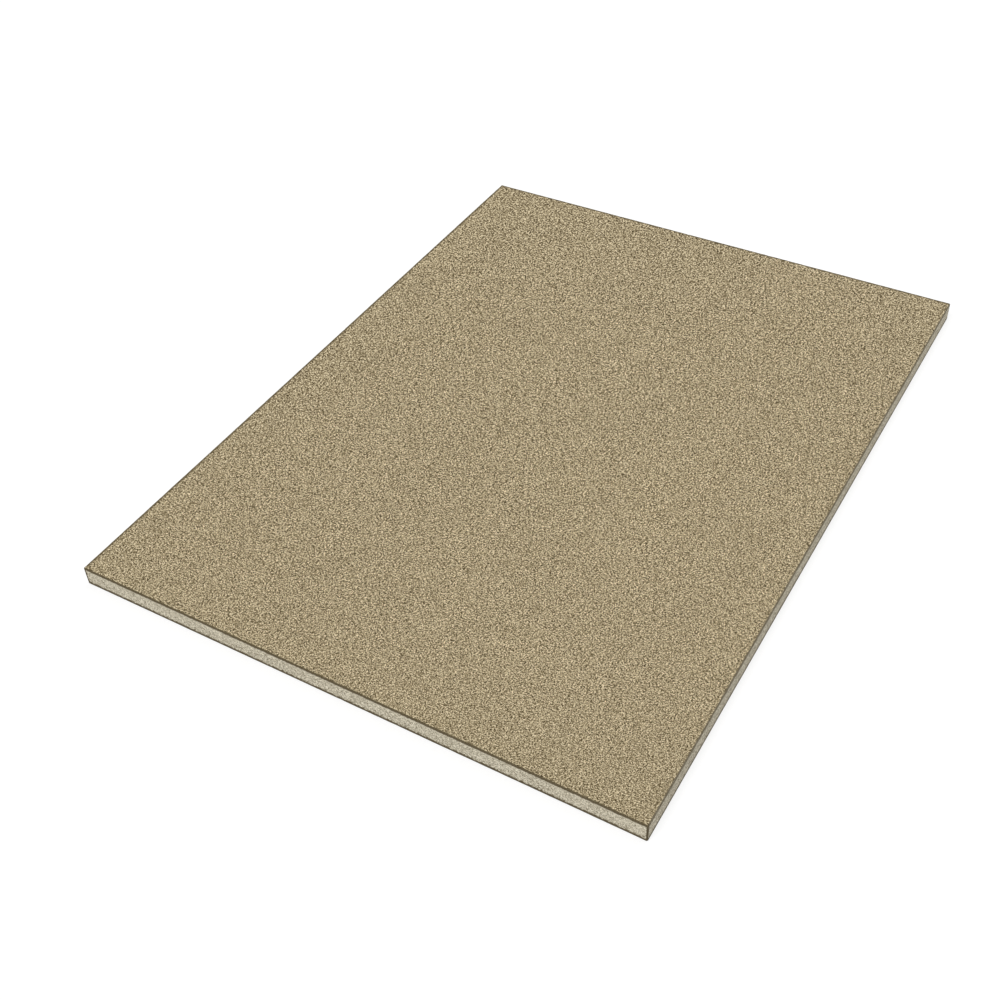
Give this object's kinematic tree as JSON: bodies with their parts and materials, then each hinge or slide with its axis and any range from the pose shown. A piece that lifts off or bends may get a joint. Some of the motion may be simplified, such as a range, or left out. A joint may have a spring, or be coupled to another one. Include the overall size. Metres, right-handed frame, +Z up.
{
  "type": "particle board panel",
  "caption": "Flat rectangular board of pressed wood particles with square sawn edges, cut as sheet stock for shelves, carcasses and floors.",
  "frame": {"origin": "middle of the underside, on the surface that the board lies on", "axes": "+X across the width, +Y along the length, +Z up through the thickness"},
  "size_m": [0.6, 0.8, 0.022],
  "materials": {
    "particle_board": "raw pressed and sanded wood particles"
  },
  "bodies": {
    "root": {"particle_board": "particle_board"}
  },
  "joints": []
}
